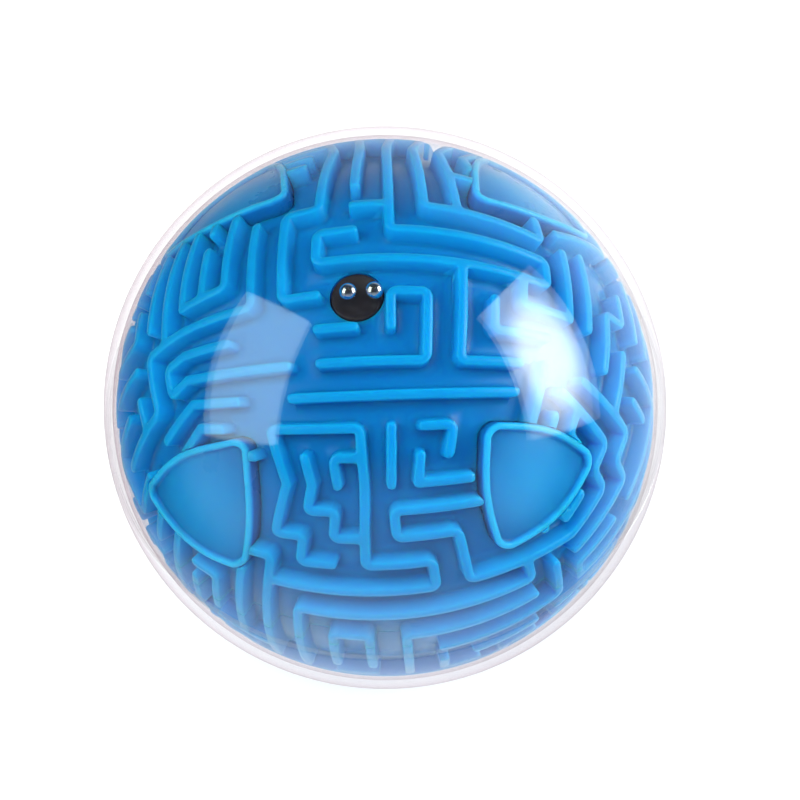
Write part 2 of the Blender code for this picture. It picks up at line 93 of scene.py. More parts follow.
RIGHT_WALLS = [
    [(3, 13), (3, 10), (2, 10), (2, 9), (0, 9)], [(4, 12), (4, 9), (3, 9), (3, 8), (1, 8)],
    [(5, 11), (7, 11), (7, 10)], [(6, 12), (9, 12)],
]
BACK_WALLS = [[(k, 13), (k, 11)] for k in range(4, 9)]
LAID_WALLS = {"top": TOP_WALLS, "front": FRONT_WALLS, "left": LEFT_WALLS, "right": RIGHT_WALLS,
              "back": BACK_WALLS}
LAID_CELLS = [            # panel, columns and rows of the cells whose walls are all listed above
    ("top", range(3, 11), range(0, 11)),
    ("top", range(0, 3), range(2, 6)),
    ("top", range(5, 9), range(11, 13)),
    ("front", range(1, 12), range(5, 13)),
    ("left", range(7, 11), range(10, 13)),
    ("right", range(3, 9), range(10, 13)),
    ("right", range(0, 4), range(8, 10)),
    ("back", range(4, 8), range(11, 13)),
]
MAZE_SEED = 11
OPEN_BORDER = 0.55        # share of the open walls between laid and grown cells
STRAIGHT_ON = 0.62        # share of the walk's steps that keep their direction
OPEN_ENDS = 0.65          # share of the dead ends that are opened
LOOSE = 0.15              # share of the other grown cells that lose a wall

PANELS = {                # normal, first direction, second direction
    "top": ((0, 0, 1), (1, 0, 0), (0, 1, 0)),
    "bottom": ((0, 0, -1), (1, 0, 0), (0, -1, 0)),
    "front": ((0, -1, 0), (1, 0, 0), (0, 0, 1)),
    "back": ((0, 1, 0), (-1, 0, 0), (0, 0, 1)),
    "right": ((1, 0, 0), (0, 1, 0), (0, 0, 1)),
    "left": ((-1, 0, 0), (0, -1, 0), (0, 0, 1)),
}
# Corner caps: degrees of the three outline corners on the z, y and x panels they reach.
CAPS = {
    (1, -1, 1): ((26.7, 32.8), (26.9, 23.9), (30.2, 27.7)),
    (-1, -1, 1): ((32.4, 34.1), (31.5, 19.0), (25.6, 14.0)),
    (-1, 1, 1): ((19.5, 25.5), (26.5, 28.5), (27.0, 26.5)),
    (1, 1, 1): ((23.5, 24.5), (27.0, 28.0), (28.5, 27.0)),
    (1, -1, -1): ((27.0, 29.0), (29.0, 27.0), (27.0, 27.0)),
    (-1, -1, -1): ((29.0, 27.0), (27.0, 26.5), (28.0, 27.0)),
    (-1, 1, -1): ((27.0, 27.0), (28.0, 27.0), (27.0, 28.5)),
    (1, 1, -1): ((28.0, 28.0), (27.0, 27.0), (28.0, 27.0)),
}
CAP_ROUND = 0.13          # share of an edge that its rounded corner takes
CAP_BULGE = 0.045         # how far an edge's middle bows out, in radians


def lattice(k):
    """Angle of lattice line k: midway between equal angles and equal steps on a flat panel."""
    s = (k - CELLS / 2) / (CELLS / 2)
    return 0.5 * (math.pi / 4 * s + math.atan(s))


def direction(panel, u, v):
    n, a, b = (Vector(x) for x in PANELS[panel])
    return (n + math.tan(u) * a + math.tan(v) * b).normalized()


def node_key(panel, k, m):
    """Whole-number place of a lattice node on the cube, the same from either panel of an edge."""
    n, a, b = PANELS[panel]
    return tuple(CELLS * n[i] + (2 * k - CELLS) * a[i] + (2 * m - CELLS) * b[i] for i in range(3))


def segment_key(panel, a, b):
    return tuple(p + q for p, q in zip(node_key(panel, *a), node_key(panel, *b)))


def cell_sides(panel, i, j):
    corners = [(i, j), (i + 1, j), (i + 1, j + 1), (i, j + 1)]
    return [segment_key(panel, corners[n], corners[(n + 1) % 4]) for n in range(4)]


def chain_segments(panel, chain):
    for (k0, m0), (k1, m1) in zip(chain, chain[1:]):
        steps = max(abs(k1 - k0), abs(m1 - m0))
        dk, dm = (k1 - k0) // steps, (m1 - m0) // steps
        for n in range(steps):
            a = (k0 + dk * n, m0 + dm * n)
            yield segment_key(panel, a, (a[0] + dk, a[1] + dm))


def grow_maze():
    """Wall segments of the whole ball: those laid out above, the rest by a seeded walk."""
    sides, cells = {}, {}
    for panel in PANELS:
        for i in range(CELLS):
            for j in range(CELLS):
                cells[panel, i, j] = cell_sides(panel, i, j)
                for s in cells[panel, i, j]:
                    sides.setdefault(s, []).append((panel, i, j))
    drawn = set()
    for panel, chains in LAID_WALLS.items():
        for chain in chains:
            drawn.update(chain_segments(panel, chain))
    laid = {(p, i, j) for p, cols, rows in LAID_CELLS for i in cols for j in rows}
    walls = set(drawn)
    rng = random.Random(MAZE_SEED)
    for s, pair in sorted(sides.items()):
        if not all(c in laid for c in pair):
            if any(c in laid for c in pair) and s not in drawn and rng.random() < OPEN_BORDER:
                continue
            walls.add(s)
    seen = set(laid)
    for start in sorted(c for c in cells if c not in laid):
        if start in seen:
            continue
        seen.add(start)
        stack, last = [start], None
        while stack:
            here = stack[-1]
            ways = [(s, c) for s in cells[here] for c in sides[s]
                    if c not in seen and c != here and s not in drawn]
            if not ways:
                stack.pop()
                last = None
                continue
            straight = [w for w in ways if cells[here].index(w[0]) == last]
            s, c = straight[0] if straight and rng.random() < STRAIGHT_ON else rng.choice(ways)
            last = cells[here].index(s) if c[0] == here[0] else None
            walls.discard(s)
            seen.add(c)
            stack.append(c)
    # open most dead ends, and a few walls more, so that the corridors join up
    for c in sorted(c for c in cells if c not in laid):
        shut = [s for s in cells[c] if s in walls and s not in drawn]
        if (len(shut) > 2 and rng.random() < OPEN_ENDS) or (shut and rng.random() < LOOSE):
            walls.discard(rng.choice(shut))
    return walls


# ---------------------------------------------------------------- shader helpers
def new_material(name):
    mat = bpy.data.materials.new(name)
    mat.use_nodes = True
    tree = mat.node_tree
    tree.nodes.clear()
    out = tree.nodes.new("ShaderNodeOutputMaterial")
    return mat, tree, out


def node(tree, kind, **values):
    """A node with its properties and unlinked inputs set; input names use _ for spaces."""
    made = tree.nodes.new("ShaderNode" + kind)
    for key, value in values.items():
        if hasattr(made, key):
            setattr(made, key, value)
        else:
            made.inputs[key.replace("_", " ")].default_value = value
    return made


def link(tree, source, socket):
    tree.links.new(source, socket)


def ramp(tree, factor, stops):
    made = tree.nodes.new("ShaderNodeValToRGB")
    cells = made.color_ramp.elements
    while len(cells) < len(stops):
        cells.new(0.5)
    for cell, (at, colour) in zip(cells, stops):
        cell.position = at
        cell.color = (*colour, 1.0)
    link(tree, factor, made.inputs[0])
    return made.outputs["Color"]


def mapped(tree, value, low, high, to_low=0.0, to_high=1.0):
    made = tree.nodes.new("ShaderNodeMapRange")
    made.inputs["From Min"].default_value = low
    made.inputs["From Max"].default_value = high
    made.inputs["To Min"].default_value = to_low
    made.inputs["To Max"].default_value = to_high
    link(tree, value, made.inputs["Value"])
    return made.outputs["Result"]


def noise(tree, coord, scale, detail=3.0, rough=0.5):
    made = node(tree, "TexNoise", Scale=scale, Detail=detail, Roughness=rough)
    link(tree, coord, made.inputs["Vector"])
    return made.outputs["Fac"]


def bump(tree, height, strength, distance):
    made = node(tree, "Bump", Strength=strength, Distance=distance)
    link(tree, height, made.inputs["Height"])
    return made.outputs["Normal"]


def radius_of(tree):
    """Distance of a point from the middle of the sphere, in metres."""
    coord = node(tree, "TexCoord")
    length = node(tree, "VectorMath", operation="LENGTH")
    link(tree, coord.outputs["Object"], length.inputs[0])
    return coord.outputs["Object"], length.outputs["Value"]


# ---------------------------------------------------------------- materials
PLASTIC_IOR = 1.49
BLUE_SPECULAR = 0.2
BLUE_SCATTER = 0.85       # share of the light that spreads inside the blue moulding
BLUE_SPREAD = (0.10, 0.55, 1.0)
BLUE_DEPTH = 0.006        # how far it spreads, in metres, times the spread of its colour
CAP_ROUGH = 0.30
# Blue by radius from the channel floors (0) up to the wall tops (1): painted shade darkens the low
# surfaces and painted light brightens the high ones.
# on the maze: painted shade on the channel floors, painted light on the wall tops
MAZE_BLUE_AND_PAINTED_SHADE = [(0.0, (0.0005, 0.170, 0.470)), (0.20, (0.0008, 0.215, 0.520)),
              (0.80, (0.0012, 0.270, 0.570)), (1.0, (0.0014, 0.270, 0.560))]
# on the caps: painted shade where the dish sinks towards its corners by the rim, painted light on
# the raised rim
CAP_BLUE_AND_PAINTED_SHADE = [(0.0, (0.001, 0.150, 0.410)), (0.68, (0.001, 0.155, 0.420)),
             (0.80, (0.006, 0.250, 0.570)), (0.92, (0.010, 0.330, 0.640)),
             (1.0, (0.012, 0.350, 0.660))]
# The clear wall: what it lets through, by how far its surface turns away from the viewer.
CLEAR_TINT = [(0.60, (0.98, 0.98, 0.98)), (1.0, (0.80, 0.74, 0.77))]
MIRROR_SHARE = (0.04, 0.5)          # straight on and at grazing
MIRROR_RISE = 5.0                   # power of the rise between them
BALL_STEEL, BALL_ROUGH, BALL_SCRATCH = (0.86, 0.86, 0.87), 0.17, 0.05
ZINC, ZINC_ROUGH, ZINC_SCRATCH = (0.50, 0.51, 0.53), 0.32, 0.25
FLOOR_GLOW = 0.55


def blue_material_with_painted_shade(name, stops, rough=0.34):
    """Moulded translucent blue, with painted shade darkening it in the channels and painted light
    on the wall tops.
    """
    mat, tree, out = new_material(name)
    coord, radius = radius_of(tree)
    # painted shade and light: this ramp by radius darkens low surfaces and lightens high ones
    base = ramp(tree, mapped(tree, radius, FLOOR_R, WALL_TOP_R), stops)
    cloud = noise(tree, coord, 90.0, 4.0, 0.6)
    fine = noise(tree, coord, 2600.0, 2.0, 0.6)
    tint = node(tree, "MixRGB", blend_type="MULTIPLY")
    tint.inputs["Fac"].default_value = 1.0
    link(tree, base, tint.inputs["Color1"])
    link(tree, ramp(tree, cloud, [(0.3, (0.90, 0.92, 0.94)), (0.7, (1.0, 1.0, 1.0))]),
         tint.inputs["Color2"])
    shader = node(tree, "BsdfPrincipled")
    shader.inputs["IOR"].default_value = PLASTIC_IOR
    shader.inputs["Specular IOR Level"].default_value = BLUE_SPECULAR
    shader.inputs["Subsurface Weight"].default_value = BLUE_SCATTER
    shader.inputs["Subsurface Radius"].default_value = BLUE_SPREAD
    shader.inputs["Subsurface Scale"].default_value = BLUE_DEPTH
    link(tree, tint.outputs["Color"], shader.inputs["Base Color"])
    link(tree, mapped(tree, cloud, 0.3, 0.7, rough - 0.05, rough + 0.06),
         shader.inputs["Roughness"])
    link(tree, bump(tree, fine, 0.12, 0.00002), shader.inputs["Normal"])
    link(tree, shader.outputs["BSDF"], out.inputs["Surface"])
    return mat


def clear_material():
    """Thin clear polystyrene: sharp reflections over what lies behind it."""
    mat, tree, out = new_material("clear_plastic_visual")
    coord, _ = radius_of(tree)
    see = node(tree, "BsdfTransparent")
    gloss = node(tree, "BsdfGlossy", Color=(1.0, 1.0, 1.0, 1.0))
    smear = noise(tree, coord, 60.0, 4.0, 0.6)
    link(tree, mapped(tree, smear, 0.35, 0.7, 0.03, 0.07), gloss.inputs["Roughness"])
    link(tree, bump(tree, noise(tree, coord, 22.0, 2.0, 0.4), 0.10, 0.0006), gloss.inputs["Normal"])
    # the same mirror share from either face of the thin wall, without a bent view through it
    edge = node(tree, "LayerWeight", Blend=0.5)
    link(tree, ramp(tree, edge.outputs["Facing"], CLEAR_TINT), see.inputs["Color"])
    steep = node(tree, "Math", operation="POWER")
    link(tree, edge.outputs["Facing"], steep.inputs[0])
    steep.inputs[1].default_value = MIRROR_RISE
    mix = node(tree, "MixShader")
    link(tree, mapped(tree, steep.outputs["Value"], 0.0, 1.0, *MIRROR_SHARE), mix.inputs["Fac"])
    link(tree, see.outputs["BSDF"], mix.inputs[1])
    link(tree, gloss.outputs["BSDF"], mix.inputs[2])
    link(tree, mix.outputs["Shader"], out.inputs["Surface"])
    return mat


def metal_material(name, colour, rough, scratch):
    """Steel with hairline scratches and a faint smear."""
    mat, tree, out = new_material(name)
    coord, _ = radius_of(tree)
    smear = noise(tree, coord, 500.0, 4.0, 0.6)
    lines = node(tree, "TexWave", Scale=900.0, Distortion=14.0, Detail=3.0)
    link(tree, coord, lines.inputs["Vector"])
    shader = node(tree, "BsdfPrincipled")
    shader.inputs["Metallic"].default_value = 1.0
    link(tree, ramp(tree, smear, [(0.3, tuple(0.9 * c for c in colour)), (0.7, colour)]),
         shader.inputs["Base Color"])
    link(tree, mapped(tree, smear, 0.3, 0.7, rough * 0.7, rough * 1.4), shader.inputs["Roughness"])
    link(tree, bump(tree, lines.outputs["Fac"], scratch, 0.000005), shader.inputs["Normal"])
    link(tree, shader.outputs["BSDF"], out.inputs["Surface"])
    return mat


def rubber_material():
    """Near-black matt insert, dusty where it is smooth."""
    mat, tree, out = new_material("black_insert_visual")
    coord, _ = radius_of(tree)
    dust = noise(tree, coord, 700.0, 5.0, 0.65)
    shader = node(tree, "BsdfPrincipled")
    link(tree, ramp(tree, dust, [(0.35, (0.011, 0.008, 0.009)), (0.75, (0.021, 0.018, 0.020))]),
         shader.inputs["Base Color"])
    link(tree, mapped(tree, dust, 0.3, 0.7, 0.42, 0.62), shader.inputs["Roughness"])
    link(tree, bump(tree, noise(tree, coord, 3200.0, 2.0, 0.5), 0.2, 0.00003),
         shader.inputs["Normal"])
    link(tree, shader.outputs["BSDF"], out.inputs["Surface"])
    return mat


def floor_material():
    """White paper that gives off a little light, so that it shows white with a soft shadow."""
    mat, tree, out = new_material("studio_floor")
    coord = node(tree, "TexCoord")
    grain = noise(tree, coord.outputs["Object"], 14.0, 3.0, 0.5)
    shader = node(tree, "BsdfPrincipled")
    link(tree, ramp(tree, grain, [(0.3, (0.60, 0.60, 0.60)), (0.7, (0.63, 0.63, 0.63))]),
         shader.inputs["Base Color"])
    shader.inputs["Roughness"].default_value = 0.9
    shader.inputs["Specular IOR Level"].default_value = 0.1
    shader.inputs["Emission Color"].default_value = (1.0, 1.0, 1.0, 1.0)
    shader.inputs["Emission Strength"].default_value = FLOOR_GLOW
    link(tree, shader.outputs["BSDF"], out.inputs["Surface"])
    return mat


MAT = {
    "maze": blue_material_with_painted_shade("blue_plastic_visual", MAZE_BLUE_AND_PAINTED_SHADE),
    "cap": blue_material_with_painted_shade("blue_cap_visual", CAP_BLUE_AND_PAINTED_SHADE, CAP_ROUGH),
    "clear": clear_material(),
    "steel": metal_material("polished_steel_visual", BALL_STEEL, BALL_ROUGH, BALL_SCRATCH),
    "zinc": metal_material("zinc_steel_visual", ZINC, ZINC_ROUGH, ZINC_SCRATCH),
    "rubber": rubber_material(),
    "floor": floor_material(),
}


# ---------------------------------------------------------------- mesh helpers
WELD = 0.000002           # points closer than this become one
ON_AXIS = 1e-9            # a profile point nearer to the axis than this lies on it


def object_from(name, verts, faces, mat, sharp=None):
    mesh = bpy.data.meshes.new(name)
    mesh.from_pydata([tuple(v) for v in verts], [], faces)
    mesh.validate()
    return finish_mesh(name, mesh, mat, sharp)


def finish_mesh(name, mesh, mat, sharp):
    bm = bmesh.new()
    bm.from_mesh(mesh)
    bmesh.ops.remove_doubles(bm, verts=bm.verts, dist=WELD)
    bmesh.ops.recalc_face_normals(bm, faces=bm.faces)
    bm.to_mesh(mesh)
    bm.free()
    mesh.shade_smooth()
    if sharp:
        mesh.set_sharp_from_angle(angle=math.radians(sharp))
    ob = bpy.data.objects.new(name, mesh)
    if mat:
        mesh.materials.append(MAT[mat])
    bpy.context.scene.collection.objects.link(ob)
    return ob


def solid_boolean(ob, other, operation):
    mod = ob.modifiers.new(operation.lower(), "BOOLEAN")
    mod.object = other
    mod.operation = operation
    mod.solver = "MANIFOLD"


def applied(ob, name, mat, sharp):
    """A new object with the modifiers of ob applied."""
    graph = bpy.context.evaluated_depsgraph_get()
    mesh = bpy.data.meshes.new_from_object(ob.evaluated_get(graph))
    mesh.materials.clear()
    return finish_mesh(name, mesh, mat, sharp)


def drop(*obs):
    for ob in obs:
        bpy.data.objects.remove(ob, do_unlink=True)


def turned(name, profile, steps, mat, sharp=35, place=Matrix()):
    """A closed body from (radius, height) points turned about Z; the ends lie on the axis."""
    verts, faces, rings = [], [], []
    for r, z in profile:
        if r < ON_AXIS:
            rings.append([len(verts)] * steps)
            verts.append(Vector((0.0, 0.0, z)))
            continue
        rings.append(list(range(len(verts), len(verts) + steps)))
        for n in range(steps):
            a = math.tau * n / steps
            verts.append(Vector((r * math.cos(a), r * math.sin(a), z)))
    for low, high in zip(rings, rings[1:]):
        for n in range(steps):
            m = (n + 1) % steps
            corner = [low[n], low[m], high[m], high[n]]
            faces.append([c for k, c in enumerate(corner) if c not in corner[:k]])
    return object_from(name, [place @ v for v in verts], faces, mat, sharp)


# ---------------------------------------------------------------- maze core
# Mesh lines either side of a wall's middle, in half wall widths.
OFFSETS = (0.70, 0.92, 1.05, 1.35)
FILLET = 1.0              # width of the rounding where walls meet, in half widths
BEND = OFFSETS[-1]        # radius of a bend's middle line, in half widths
FAR = 9.0                 # any distance past the wall's foot
HALF = WALL_W / 2 / WALL_TOP_R
# Wall section: distance from the wall's middle in half widths, and the radius there in mm.
SECTION_AT = (0.0, 0.45, 0.70, 0.82, 0.92, 1.05, 1.18, 1.35)
SECTION_R = (48.70, 48.70, 48.65, 48.56, 48.38, 45.85, 45.56, 45.40)


def mesh_lines():
    """(lattice line, half widths from it) across a panel; None marks the middle of a cell."""
    lines = []
    for k in range(CELLS + 1):
        near = [-o for o in reversed(OFFSETS)] if k > 0 else []
        far = list(OFFSETS) if k < CELLS else []
        lines += [(k, o) for o in near + [0.0] + far]
        if k < CELLS:
            lines.append((k, None))
    return lines


def node_arms(walls):
    """For each lattice node of each panel: its walls east, west, north, south and elsewhere."""
    count = {}
    for panel in PANELS:
        for k in range(CELLS + 1):
            for m in range(CELLS + 1):
                key = node_key(panel, k, m)
                for dk, dm in ((1, 0), (-1, 0), (0, 1), (0, -1)):
                    if 0 <= k + dk <= CELLS and 0 <= m + dm <= CELLS:
                        s = segment_key(panel, (k, m), (k + dk, m + dm))
                        if s in walls:
                            count.setdefault(key, set()).add(s)
    arms = {}
    for panel in PANELS:
        table = np.zeros((CELLS + 1, CELLS + 1, 5), bool)
        for k in range(CELLS + 1):
            for m in range(CELLS + 1):
                own = 0
                for n, (dk, dm) in enumerate(((1, 0), (-1, 0), (0, 1), (0, -1))):
                    if 0 <= k + dk <= CELLS and 0 <= m + dm <= CELLS:
                        table[k, m, n] = segment_key(panel, (k, m), (k + dk, m + dm)) in walls
                        own += table[k, m, n]
                table[k, m, 4] = len(count.get(node_key(panel, k, m), ())) > own
        arms[panel] = table
    return arms


def panel_surface(panel, table):
    """Vertex places of one panel, wall tops and channel floors alike."""
    lines = mesh_lines()
    line_k = np.array([k for k, _ in lines])
    mid = np.array([o is None for _, o in lines])
    off = np.array([0.0 if o is None else o for _, o in lines])
    angle = np.array([lattice(k) for k in range(CELLS + 1)])
    half_pitch = np.append(np.diff(angle) / 2, 0.0)
    base = angle[line_k] + np.where(mid, half_pitch[line_k], 0.0)
    x = np.where(mid, half_pitch[line_k] / HALF, off)
    X, Y = np.meshgrid(x, x, indexing="ij")
    K, M = np.meshgrid(line_k, line_k, indexing="ij")
    MX, MY = np.meshgrid(mid, mid, indexing="ij")
    arms = table[K, M]
    east, west, north, south, other = (arms[..., n] for n in range(5))
    arm_x = np.where(X >= 0, east, west)
    arm_y = np.where(Y >= 0, north, south)
    some = arms.any(-1)
    turns = (arms[..., :4].sum(-1) == 2) & ~other & (east != west) & (north != south)
    bend = turns & (K > 0) & (K < CELLS) & (M > 0) & (M < CELLS)
    free = ~arm_x & ~arm_y & some & ~MX & ~MY & ~bend
    # a square of mesh round a free wall end or outer corner is drawn in to a circle
    side = np.maximum(np.abs(X), np.abs(Y))
    long = np.hypot(X, Y)
    pull = np.where(free & (long > 0), side / np.maximum(long, 1e-9), 1.0)
    X, Y = X * pull, Y * pull
    # and round a bend, to arcs about the bend's own centre
    toward_x, toward_y = np.where(east, 1.0, -1.0), np.where(north, 1.0, -1.0)
    bx, by = BEND - toward_x * X, BEND - toward_y * Y
    bent = bend & (bx >= 0) & (by >= 0)
    ring = np.maximum(bx, by)
    pull = np.where(MX | MY, 1.0, ring / np.maximum(np.hypot(bx, by), 1e-9))
    X = np.where(bent, toward_x * (BEND - bx * pull), X)
    Y = np.where(bent, toward_y * (BEND - by * pull), Y)
    ax, ay = np.abs(X), np.abs(Y)
    fillet = np.maximum(FILLET - np.abs(ax - ay), 0.0) ** 2 / (4 * FILLET)
    apart = np.full(X.shape, FAR)
    apart = np.where(some, np.hypot(X, Y), apart)
    apart = np.where(arm_x, ay, apart)
    apart = np.where(arm_y, ax, apart)
    apart = np.where(arm_x & arm_y, np.maximum(np.minimum(ax, ay) - fillet, 0.0), apart)
    apart = np.where(bend, np.minimum(np.where(arm_x, ay, FAR), np.where(arm_y, ax, FAR)), apart)
    apart = np.where(bent, np.abs(ring - BEND), apart)
    radius = np.interp(apart, SECTION_AT, SECTION_R) / 1000
    U, V = np.meshgrid(base, base, indexing="ij")
    tu, tv = np.tan(U), np.tan(V)
    spread = np.sqrt(1 + tu ** 2 + tv ** 2)
    U = U + np.where(MX, 0.0, X * HALF * spread / np.sqrt(1 + tu ** 2))
    V = V + np.where(MY, 0.0, Y * HALF * spread / np.sqrt(1 + tv ** 2))
    n, a, b = (np.array(p, float) for p in PANELS[panel])
    place = n + np.tan(U)[..., None] * a + np.tan(V)[..., None] * b
    place /= np.linalg.norm(place, axis=-1, keepdims=True)
    return place * radius[..., None]


def maze_ball():
    """The whole ball with its walls standing, still solid."""
    arms = node_arms(grow_maze())
    verts, faces, start = [], [], 0
    for panel in PANELS:
        place = panel_surface(panel, arms[panel])
        across = place.shape[0]
        number = np.arange(across * across).reshape(across, across) + start
        quads = np.stack([number[:-1, :-1], number[1:, :-1], number[1:, 1:], number[:-1, 1:]], -1)
        verts.append(place.reshape(-1, 3))
        faces.append(quads.reshape(-1, 4))
        start += across * across
    return object_from("maze_ball", np.concatenate(verts), np.concatenate(faces).tolist(), None)


CAP_ARC_STEPS = 8         # points round an outline corner and along an outline edge
CAP_EDGE_STEPS = 14
TIP_BOW = 0.45            # shares of the bulge at the corners' ends, and added in an edge's middle
EDGE_BOW = 0.62


def cap_corners(corner, grow):
    """Directions of the three outline corners, moved out from their middle by a fraction."""
    sx, sy, sz = corner
    (a, b), (c, d), (e, f) = ([math.tan(math.radians(x)) for x in pair] for pair in CAPS[corner])
    tips = [Vector((sx * a, sy * b, sz)), Vector((sx * c, sy, sz * d)),
            Vector((sx, sy * e, sz * f))]
    tips = [t.normalized() for t in tips]
    mid = sum(tips, Vector()) / 3
    return [(mid + (t - mid) * (1 + grow)).normalized() for t in tips]


def cap_outline(corner, grow=0.0):
    """Directions round a spherical triangle with rounded corners and bowed edges."""
    tips = cap_corners(corner, grow)
    mid = sum(tips, Vector()).normalized()
    points = []
    for n in range(3):
        here, before, after = tips[n], tips[n - 1], tips[(n + 1) % 3]
        p0, p2 = here.slerp(before, CAP_ROUND), here.slerp(after, CAP_ROUND)
        for step in range(CAP_ARC_STEPS):
            t = step / CAP_ARC_STEPS
            place = p0 * (1 - t) ** 2 + here * 2 * t * (1 - t) + p2 * t * t
            points.append((place.normalized(), TIP_BOW * (1 - 4 * t * (1 - t))))
        p3 = after.slerp(here, CAP_ROUND)
        for step in range(CAP_EDGE_STEPS):
            t = step / CAP_EDGE_STEPS
            points.append((p2.slerp(p3, t), TIP_BOW + EDGE_BOW * 4 * t * (1 - t)))
    bowed = []
    for p, bow in points:
        away = (p - mid * p.dot(mid)).normalized()
        bowed.append((p + away * CAP_BULGE * bow).normalized())
    return bowed


def inset_outline(points, inset):
    """The outline moved inwards over the sphere by an angle."""
    moved = []
    for n, p in enumerate(points):
        along = points[(n + 1) % len(points)] - points[n - 1]
        side = along.cross(p).normalized()
        moved.append((p - side * inset).normalized())
    mid = sum(points, Vector()).normalized()
    if (moved[0] - mid).length > (points[0] - mid).length:
        return inset_outline(points[::-1], inset)[::-1]
    return moved


def ring_body(name, rings, mat, sharp):
    """A closed body through equal rings of points, ended by a point at each end."""
    count = len(rings[0])
    verts = [p for ring in rings for p in ring]
    faces = []
    for r in range(len(rings) - 1):
        for n in range(count):
            m = (n + 1) % count
            a, b = r * count, (r + 1) * count
            faces.append((a + n, a + m, b + m, b + n))
    for r in (0, len(rings) - 1):
        ring = rings[r]
        middle = sum(ring, Vector()) / count
        size = sum(p.length for p in ring) / count
        verts.append(middle.normalized() * size)
        for n in range(count):
            m = (n + 1) % count
            faces.append((len(verts) - 1, r * count + n, r * count + m))
    return object_from(name, verts, faces, mat, sharp)


# Cap section from the underside to the rim: inset in mm, radius in mm.
CAP_UNDER = ((2.1, 46.40), (1.9, 46.30), (1.7, 46.00), (1.6, 44.1), (1.4, 43.90), (0.2, 43.90))
CAP_OVER = ((0.0, 44.10), (0.0, 47.95), (0.05, 48.28), (0.18, 48.53), (0.42, 48.67), (0.72, 48.70),
            (1.00, 48.67), (1.18, 48.55))
CAP_FALL = ((1.30, 0.46), (1.40, 0.16), (1.60, 0.03), (1.95, 0.0))   # inset, height over the dish
CAP_SHARP = 50            # degrees between faces from which an edge is left sharp
DISH_STEPS = 9
DISH_TOP = 0.04805        # the dish is domed: radius in its middle, fall to its furthest corner
DISH_FALL = 0.0007


def corner_cap(name, corner):
    outline = cap_outline(corner)
    mid = sum(outline, Vector()).normalized()
    rings = []
    inner = inset_outline(outline, CAP_UNDER[0][0] / 1000 / WALL_TOP_R)
    for share in (0.33, 0.66):      # two rings of mesh across the flat underside
        rings.append([mid.slerp(p, share) * CAP_UNDER[0][1] / 1000 for p in inner])
    for inset, radius in CAP_UNDER + CAP_OVER:
        moved = inset_outline(outline, inset / 1000 / WALL_TOP_R) if inset else outline
        rings.append([p * radius / 1000 for p in moved])
    furthest = max(mid.angle(p) for p in outline)

    def dish(p, over=0.0):
        return p * (DISH_TOP - DISH_FALL * (mid.angle(p) / furthest) ** 2 + over / 1000)

    for inset, over in CAP_FALL:
        last = inset_outline(outline, inset / 1000 / WALL_TOP_R)
        rings.append([dish(p, over) for p in last])
    for step in range(1, DISH_STEPS):
        rings.append([dish(p.slerp(mid, step / DISH_STEPS)) for p in last])
    return ring_body(name, rings, "cap", CAP_SHARP)


CAP_HOLE_REACH = (0.0375, 0.0525)   # radii between which a cap's hole is cut
CUP_HOLE_REACH = (0.0415, 0.0475)
SCREW_DEEP = 0.0040       # how far the holes reach, either side of the seam
DOWEL_DEEP = 0.0022
KEEP = 0.06               # half the side of the box that one core half is cut out with
MAZE_SHARP = 60


def cap_hole(corner):
    points = cap_outline(corner, CAP_HOLE)
    return ring_body("hole", [[p * r for p in points] for r in CAP_HOLE_REACH], None, None)


def box_body(low, high):
    places = [(x, y, z) for x in (low[0], high[0]) for y in (low[1], high[1])
              for z in (low[2], high[2])]
    faces = [(0, 1, 3, 2), (4, 6, 7, 5), (0, 4, 5, 1), (2, 3, 7, 6), (0, 2, 6, 4), (1, 5, 7, 3)]
    return object_from("keep", places, faces, None)


def arc(radius, z_seam, rings):
    """(radius, height) points of a hemisphere from the height z_seam up to the pole."""
    start = math.asin(z_seam / radius)
    angles = [start + (math.pi / 2 - start) * n / rings for n in range(rings + 1)]
    return [(radius * math.cos(t), radius * math.sin(t)) for t in angles[:-1]] + [(0.0, radius)]


def core_cutters():
    """What is taken out of the ball: hollow with its flange, cap holes, cup hole, fixing holes."""
    half = arc(CORE_IN_R, FLANGE_T, 20)[::-1] + [(FLANGE_IN_R, FLANGE_T)]
    made = [turned("hollow", half + [(r, -z) for r, z in half[::-1]], 96, None)]
    made += [cap_hole(corner) for corner in CAPS]
    seat = cup_turn().to_4x4()
    low, high = CUP_HOLE_REACH
    made.append(turned("cup_hole", [(0.0, low), (CUP_R + GAP, low), (CUP_R + GAP, high),
                                    (0.0, high)], 48, None, place=seat))
    for n in range(4):
        a = math.radians(45 + 90 * n)
        made.append(fixing_hole(FIX_R * math.cos(a), FIX_R * math.sin(a), SCREW_R + GAP,
                                 SCREW_DEEP))
    for side in (1, -1):
        made.append(fixing_hole(side * FIX_R, 0.0, DOWEL_R + GAP, DOWEL_DEEP))
    return made


def fixing_hole(x, y, radius, deep):
    place = Matrix.Translation((x, y, 0.0))
    return turned("fixing", [(0.0, -deep), (radius, -deep), (radius, deep), (0.0, deep)], 24, None,
                  place=place)


def cup_turn():
    axis = direction("top", lattice(CUP_NODE[0]), lattice(CUP_NODE[1]))
    return Vector((0, 0, 1)).rotation_difference(axis).to_matrix()


def core_halves():
    ball = maze_ball()
    cutters = core_cutters()
    for other in cutters:
        solid_boolean(ball, other, "DIFFERENCE")
    whole = applied(ball, "whole", None, None)
    made = []
    for name, low, high in (("maze_upper", SEAM, KEEP), ("maze_lower", -KEEP, -SEAM)):
        keep = box_body((-KEEP, -KEEP, low), (KEEP, KEEP, high))
        whole.modifiers.clear()
        solid_boolean(whole, keep, "INTERSECT")
        made.append(applied(whole, name, "maze", MAZE_SHARP))
        drop(keep)
    drop(ball, whole, *cutters)
    return made


